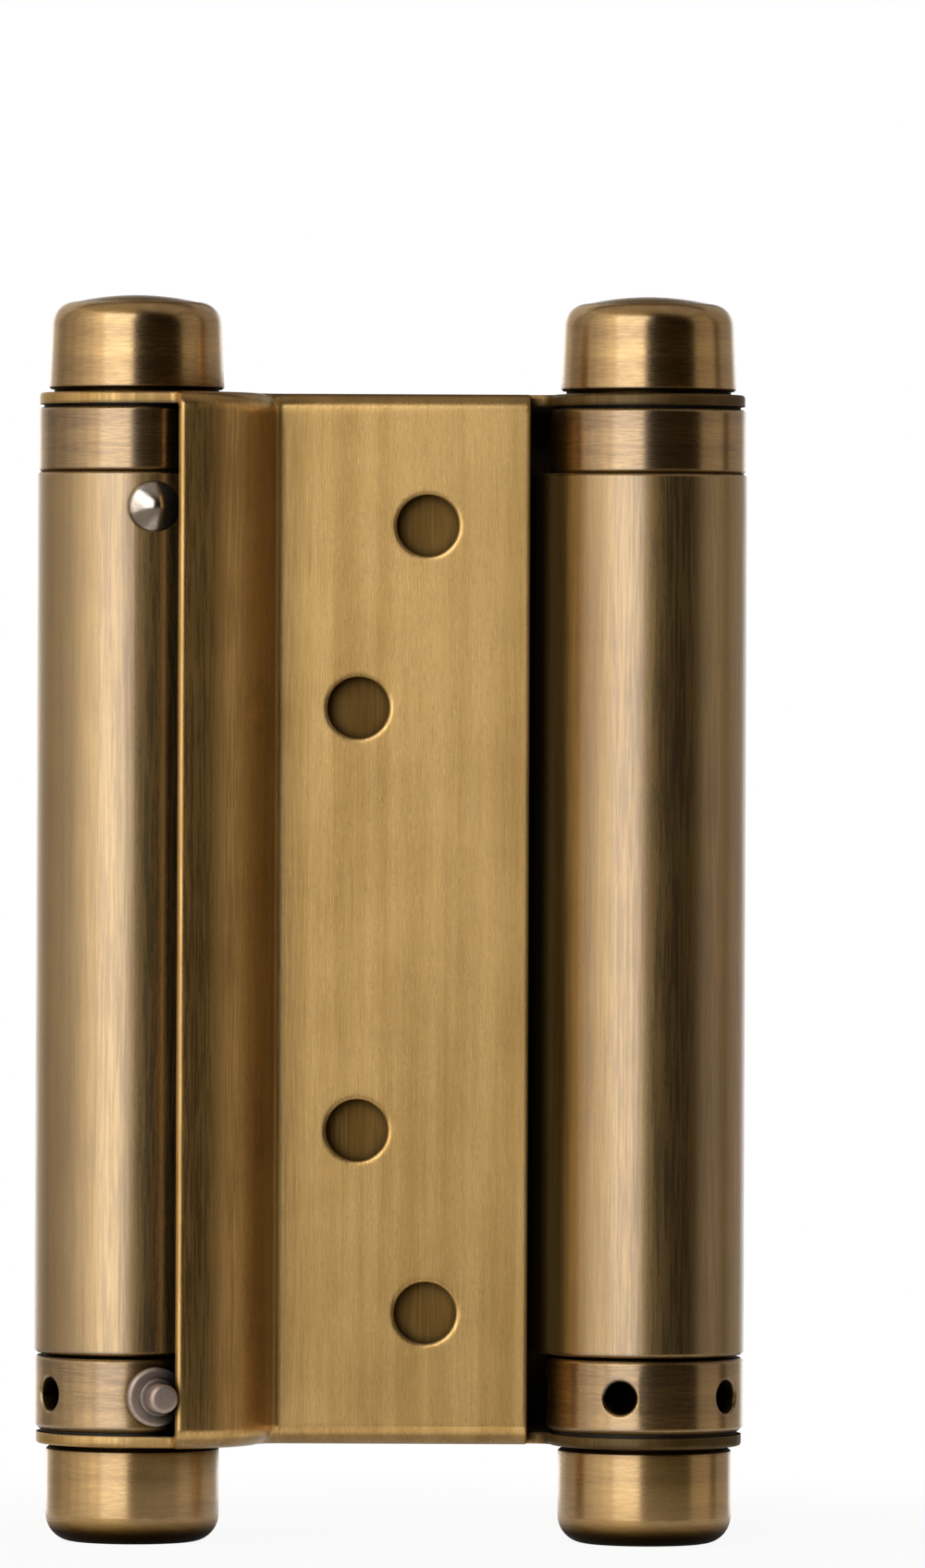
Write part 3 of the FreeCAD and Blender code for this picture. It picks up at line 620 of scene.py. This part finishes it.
print(TURNS, "turns of wire", round(WIRE / MM, 1), "mm thick")

# %% [markdown]
# ## The surface of a spring
# The wire's section is a square with round corners. It is carried along the path on the sheet, and
# the sheet is then rolled up again, all as whole arrays. The first tang stands opposite the tension
# pin and the last one opposite the rivet, where the collar and the bush have their slots.

# %% Spring surface
SECTION_STEPS = 16
SQUARENESS = 0.45               # 1 is a circle, and 0 a square


def bearing(way):
    """Angle of a level direction."""
    return math.atan2(way.y, way.x)


def spring_surface(side):
    """The section stands across the path, and then the angle round the spindle is the distance along
    the sheet over the mean radius. Gives the points, ring by ring."""
    low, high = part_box(f"{side}_spring")
    mean = (high[0] - low[0]) / 2 - WIRE / 2
    pin, rivet = (bearing(outward(side, f"{side}_{kind}")) for kind in ("tension_pin", "anchor_rivet"))
    sweep = 2 * math.pi * TURNS + rivet - pin
    reach = TANG - WIRE / 2
    foot, head = low[2] + reach, high[2] - reach
    points, tangents = spring_path(sweep * mean + WIRE, head - foot, reach)
    turn = np.linspace(0.0, 2 * np.pi, SECTION_STEPS, endpoint=False)
    section = np.stack([np.cos(turn), np.sin(turn)])
    section = np.sign(section) * np.abs(section) ** SQUARENESS * (WIRE / 2)
    along = points[:, :1] - tangents[:, 1:] * section[1] - WIRE / 2
    z = points[:, 1:] + tangents[:, :1] * section[1] + foot
    angle = pin + math.pi + along / mean
    ring = mean + section[0]
    x = spindle[side].x + ring * np.cos(angle)
    y = spindle[side].y + ring * np.sin(angle)
    return np.stack([x, y, z], axis=-1)


pin_bearings = [math.degrees(bearing(outward(side, f"{side}_tension_pin"))) for side in SIDES]
print("tension pins at", [round(angle) for angle in pin_bearings], "degrees")

# %% [markdown]
# ## Springs in their barrels
# Each surface stands for the plain solid of its spring and moves with the centre of the hinge. Its
# sides are smooth, and the cut tips are flat. The steel is dark with oil.

# %% Springs
SPRING_TONES = ((0.34, 0.35, 0.37), (0.20, 0.21, 0.22), (0.45, 0.46, 0.48))

for side in SIDES:
    verts = spring_surface(side)
    quads = ring_faces(len(verts), SECTION_STEPS).tolist()
    tip = np.arange(SECTION_STEPS)
    tips = [tip[::-1].tolist(), (tip + (len(verts) - 1) * SECTION_STEPS).tolist()]
    coil = surface(f"{side}_torsion_spring", verts, quads + tips)
    coil.data.polygons.foreach_set("use_smooth", [True] * len(quads) + [False] * len(tips))
    coil.data.materials.append(metal(
        f"{side}_spring_steel", turned_about(spindle[side], UP, 0.3 * MM, 6.0), SPRING_TONES, roughness=0.38,
        stretch=0.4, turn=0.0, relief=0.1))
    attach(coil, "centre")
    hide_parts(f"{side}_spring")
    print(coil.name, len(coil.data.polygons), "faces", [round(v / MM, 2) for v in coil.dimensions], "mm")

# %% [markdown]
# ## The shape of a rivet
# A rivet holds each anchor bush in the top of its barrel. Its head was pressed to a low cone with a
# rounded tip, so one half takes all the light and the other none. A cone with a bevelled tip would
# show where the bevel starts, so the profile is one smooth curve, which is turned round the axis.

# %% Rivet profile and turned surface
RIVET_SHANK = 3.0 * MM
TIP_ROUND = 0.35                # share of the head's radius over which its tip is rounded
HEAD_STEPS, RIVET_STEPS = 14, 48


def rivet_profile(start, base, radius, tall):
    """Shank, flat underside and head, as distances along the axis and radii. The head is a branch of
    a hyperbola: its height falls as the root of the radius squared plus the rounding squared."""
    across = np.linspace(1.0, 0.0, HEAD_STEPS)
    bow = np.sqrt(across ** 2 + TIP_ROUND ** 2)
    rise = (bow[0] - bow) / (bow[0] - bow[-1])
    shank = [[start, 0.0], [start, RIVET_SHANK / 2], [base, RIVET_SHANK / 2]]
    return np.concatenate([shank, np.stack([base + tall * rise, radius * across], axis=1)])


def turned_surface(profile, centre, axis, steps):
    """Point = centre + axis * distance + radius * (cos, sin) of the turn. The profile starts and ends
    on the axis, where a fan of triangles closes it. Gives the points and the faces."""
    side_way = axis.cross(UP).normalized()
    turn = np.linspace(0.0, 2 * np.pi, steps, endpoint=False)
    ring = np.outer(np.cos(turn), side_way) + np.outer(np.sin(turn), side_way.cross(-axis))
    inner = profile[1:-1]
    rings = inner[:, None, :1] * np.array(axis) + inner[:, None, 1:] * ring
    ends = profile[[0, -1], :1] * np.array(axis)
    verts = np.array(centre) + np.concatenate([rings.reshape(-1, 3), ends])
    first = np.arange(steps)
    last = first + (len(inner) - 1) * steps
    low_tip = np.stack([np.full(steps, len(verts) - 2), np.roll(first, -1), first], axis=1)
    high_tip = np.stack([np.full(steps, len(verts) - 1), last, np.roll(last, -1)], axis=1)
    return verts, ring_faces(len(inner), steps).tolist() + low_tip.tolist() + high_tip.tolist()


print("shank", round(RIVET_SHANK / MM, 1), "mm, rounded tip", TIP_ROUND, "of the head")

# %% [markdown]
# ## Rivets in their barrels
# The head's width and the distances of its tip and of the shank's end are measured on the CAD
# rivet, so the new one keeps its place and its size. It moves with the centre of the hinge.

# %% Rivets
SHARP_ANGLE = math.radians(40)

for side in SIDES:
    node = f"{side}_anchor_rivet"
    low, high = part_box(node)
    axis = outward(side, node)
    centre = Vector((spindle[side].x, spindle[side].y, middle(node).z))
    corners = np.zeros(3 * len(parts[node].data.vertices))
    parts[node].data.vertices.foreach_get("co", corners)
    along = (corners.reshape(-1, 3) - np.array(centre)) @ np.array(axis)
    radius = (high[2] - low[2]) / 2
    tall = along.max() - BARREL_RADIUS
    profile = rivet_profile(along.min(), BARREL_RADIUS, radius, tall)
    rivet = surface(f"{side}_rivet", *turned_surface(profile, centre, axis, RIVET_STEPS))
    rivet.data.polygons.foreach_set("use_smooth", [True] * len(rivet.data.polygons))
    rivet.data.set_sharp_from_angle(angle=SHARP_ANGLE)
    rivet.data.materials.append(rivet_nickel[side])
    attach(rivet, "centre")
    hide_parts(node)
    print(rivet.name, "head", round(2 * radius / MM, 2), "x", round(tall / MM, 2), "mm")

# %% [markdown]
# ## Floor
# The hinge stands on a pale floor, a flat disc. Camera rays see the floor as nearly white, with the
# hinge's shadow, and it fades into the room towards its rim. Reflections see it dimmer, and its rim
# is clear to them, so that the brass doesn't mirror the edge of a disc.

# %% Floor
FLOOR_RADIUS = 0.12
FLOOR_RINGS, FLOOR_SPOKES = 24, 64


def disc(radius, level, rings, spokes):
    """A flat disc: point = radius * ring * (cos, sin) of the spoke's angle. Gives points and faces."""
    ring = np.linspace(1 / rings, 1.0, rings)[:, None] * radius
    turn = np.linspace(0.0, 2 * np.pi, spokes, endpoint=False)
    verts = np.stack([ring * np.cos(turn), ring * np.sin(turn), np.full((rings, spokes), level)], axis=-1)
    return verts, ring_faces(rings, spokes)[:, ::-1].tolist() + [list(range(spokes))]


floor = surface("floor", *disc(FLOOR_RADIUS, cad_box[0][2], FLOOR_RINGS, FLOOR_SPOKES))
print("floor at", round(cad_box[0][2] / MM, 2), "mm with", len(floor.data.polygons), "faces")

# %% [markdown]
# ## Floor paint
# The paint is a matt white that takes the shadow, mixed with a plain glow. Light Path says which
# ray asks: the camera gets the glow almost whole, a reflection gets a third of it, and the
# light of the lamps gets none, so the floor adds little light to the brass.

# %% Floor paint
PAINT = (0.86, 0.86, 0.85, 1.0)
SEEN_FROM, SEEN_TO, SEEN_LEAST = 0.35 * FLOOR_RADIUS, 0.95 * FLOOR_RADIUS, 0.93
CLEAR_FROM, CLEAR_TO = 0.4 * FLOOR_RADIUS, 0.6 * FLOOR_RADIUS
MIRRORED_GLOW = 0.32

material = bpy.data.materials.new("pale_floor")
material.use_nodes = True
tree = material.node_tree
tree.nodes.clear()
paint = step(tree, "ShaderNodeBsdfDiffuse", {"Color": PAINT}).outputs[0]
glow = step(tree, "ShaderNodeEmission", {"Color": (1.0, 1.0, 1.0, 1.0), "Strength": 1.0}).outputs[0]
rays = step(tree, "ShaderNodeLightPath").outputs
place = step(tree, "ShaderNodeTexCoord").outputs["Object"]
reach = vector_step(tree, "LENGTH", vector_step(tree, "MULTIPLY", place, (1.0, 1.0, 0.0)))
fade = ramp(tree, reach, SEEN_FROM, SEEN_TO, SEEN_LEAST, 1.0)
seen = math_step(tree, "MULTIPLY", rays["Is Camera Ray"], fade)
mirrored = math_step(tree, "MAXIMUM", rays["Is Glossy Ray"], rays["Is Transmission Ray"])
seen = math_step(tree, "MULTIPLY_ADD", mirrored, MIRRORED_GLOW, seen, clamp=True)
both = step(tree, "ShaderNodeMixShader", {0: seen, 1: paint, 2: glow}).outputs[0]
clear = math_step(tree, "MULTIPLY", mirrored, ramp(tree, reach, CLEAR_FROM, CLEAR_TO))
open_rim = step(tree, "ShaderNodeBsdfTransparent").outputs[0]
both = step(tree, "ShaderNodeMixShader", {0: clear, 1: both, 2: open_rim}).outputs[0]
step(tree, "ShaderNodeOutputMaterial", {"Surface": both})
floor.data.materials.append(material)
print(material.name, len(tree.nodes), "nodes")

# %% [markdown]
# ## White room
# The camera sees a plain white room. What the brass reflects is another matter: a room that is white
# all round would leave it flat and grey. So for reflections the room is almost black in front, where
# the studio is, brown at the sides and paler below, and white only straight behind the hinge.

# %% White room
FRONT_ROOM, BACK_ROOM, LOW_ROOM = (0.010, 0.005, 0.001), (0.11, 0.08, 0.045), (0.25, 0.22, 0.18)
WHITE = (1.0, 1.0, 1.0)
DEPTH_SPAN, LOW_SPAN = (-0.35, 0.1), (-0.12, -0.4)      # of a direction's Y and Z
BEHIND_SPAN, LEVEL_SPAN = (0.8, 0.98), (0.3, 0.1)

world = bpy.data.worlds.new("studio")
scene.world = world
world.use_nodes = True
tree = world.node_tree
tree.nodes.clear()
rays = step(tree, "ShaderNodeLightPath").outputs
way = parted(tree, step(tree, "ShaderNodeTexCoord").outputs["Generated"])
room = blend_colours(tree, ramp(tree, way["Y"], *DEPTH_SPAN), FRONT_ROOM, BACK_ROOM)
room = blend_colours(tree, ramp(tree, way["Z"], *LOW_SPAN), room, LOW_ROOM)
level = ramp(tree, math_step(tree, "ABSOLUTE", way["Z"]), *LEVEL_SPAN)
behind = math_step(tree, "MULTIPLY", ramp(tree, way["Y"], *BEHIND_SPAN), level)
behind = math_step(tree, "MULTIPLY", rays["Is Glossy Ray"], behind)
white = math_step(tree, "MAXIMUM", rays["Is Camera Ray"], rays["Is Transmission Ray"])
room = blend_colours(tree, math_step(tree, "MAXIMUM", white, behind), room, WHITE)
sky = step(tree, "ShaderNodeBackground", {"Color": room, "Strength": 1.0}).outputs[0]
step(tree, "ShaderNodeOutputWorld", {"Surface": sky})
print(world.name, len(tree.nodes), "nodes")

# %% [markdown]
# ## A soft box
# Large soft boxes stand far off, so that both barrels show them at the same place. A round piece
# shows a box as a band, so a box is best described by the bearings between which it stands, as seen
# from the hinge. Its power is its brightness times pi times its area.

# %% Soft box
CENTRE = (Vector(cad_box[0]) + Vector(cad_box[1])) / 2
BOX_DISTANCE = 1.6


def soft_box(name, bearings, heights, brightness, colour):
    """A rectangular lamp between two bearings and two heights, in degrees as seen from the hinge.
    Bearing 0 is towards the camera, and positive bearings are to the right."""
    (left, right), (low, high) = np.radians(bearings), np.radians(heights)
    turn, rise = (left + right) / 2, (low + high) / 2
    out = Vector((math.sin(turn) * math.cos(rise), -math.cos(turn) * math.cos(rise), math.sin(rise)))
    lamp = bpy.data.lights.new(name, "AREA")
    lamp.shape = "RECTANGLE"
    lamp.size = 2 * BOX_DISTANCE * math.tan((right - left) / 2)
    lamp.size_y = 2 * BOX_DISTANCE * math.tan((high - low) / 2)
    lamp.energy = brightness * math.pi * lamp.size * lamp.size_y
    lamp.color = colour
    box = bpy.data.objects.new(name, lamp)
    facing = out.to_track_quat("Z", "Y").to_matrix().to_4x4()
    box.matrix_world = Matrix.Translation(CENTRE + out * BOX_DISTANCE) @ facing
    box.visible_camera = False
    scene.collection.objects.link(box)
    print(name, round(lamp.size, 2), "x", round(lamp.size_y, 2), "m", round(lamp.energy, 1), "W")


print("boxes stand", BOX_DISTANCE, "m from", [round(v / MM, 2) for v in CENTRE], "mm")

# %% [markdown]
# ## Lights
# The key box stands at the left front and ends a little left of the camera, which gives the bright
# band and its sharp right edge on each round piece. Five wings carry it on to the left, each dimmer
# than the last, so that the band fades out on that side. A weak box at the right front lights the
# right edges, two more behind keep the far side readable from other angles, and one is overhead.

# %% Soft boxes
COOL, WARM, WARMER = (0.98, 0.99, 1.02), (1.0, 0.94, 0.84), (1.0, 0.90, 0.74)
WING_EDGES = (-45, -60, -75, -90, -110, -130)
WING_LEVELS = (1.35, 0.95, 0.62, 0.36, 0.22)
BACK_TINT, TOP_TINT = (1.0, 0.93, 0.82), (1.0, 0.92, 0.80)

soft_box("key_box", (-45, -5), (-8.5, 50), 2.25, COOL)
for number, level in enumerate(WING_LEVELS):
    soft_box(f"key_wing_{number + 1}", (WING_EDGES[number + 1], WING_EDGES[number]), (-15, 48), level, WARM)
soft_box("fill_box", (64, 98), (-20, 40), 0.36, WARMER)
soft_box("back_left_box", (-172, -130), (-15, 45), 0.45, BACK_TINT)
soft_box("back_right_box", (108, 165), (-15, 45), 0.26, BACK_TINT)
soft_box("top_box", (-45, 45), (62, 118), 0.3, TOP_TINT)

# %% [markdown]
# ## Camera
# The photograph was taken from the front with a very long lens, slightly above the middle. The
# place, the lens and the shift come from matching corners of the model with the picture, whose
# frame is 1000 by 1695. The sensor's width lies along the frame's height, which is the longer side.

# %% Camera
FRAME_WIDTH, FRAME_HEIGHT = 1000, 1695
PIXELS_PER_RADIAN = 13445.7
AXIS_PIXEL = (397.4, 739.1)     # where the lens points
ROLL = 0.0042
CAMERA_PLACE = (-2.28 * MM, -1185.6 * MM, 22.4 * MM)

lens = bpy.data.cameras.new("camera")
lens.sensor_width = 36.0
lens.lens = PIXELS_PER_RADIAN * lens.sensor_width / FRAME_HEIGHT
lens.shift_x = (FRAME_WIDTH / 2 - AXIS_PIXEL[0]) / FRAME_HEIGHT
lens.shift_y = (AXIS_PIXEL[1] - FRAME_HEIGHT / 2) / FRAME_HEIGHT
lens.clip_start, lens.clip_end = 0.05, 20.0
camera = bpy.data.objects.new("camera", lens)
upright = Matrix.Rotation(math.pi / 2, 4, "X") @ Matrix.Rotation(ROLL, 4, "Z")
camera.matrix_world = Matrix.Translation(CAMERA_PLACE) @ upright
scene.collection.objects.link(camera)
scene.camera = camera
scene.view_settings.view_transform = "Standard"
print("lens", round(lens.lens, 1), "mm, shift", round(lens.shift_x, 4), round(lens.shift_y, 4))
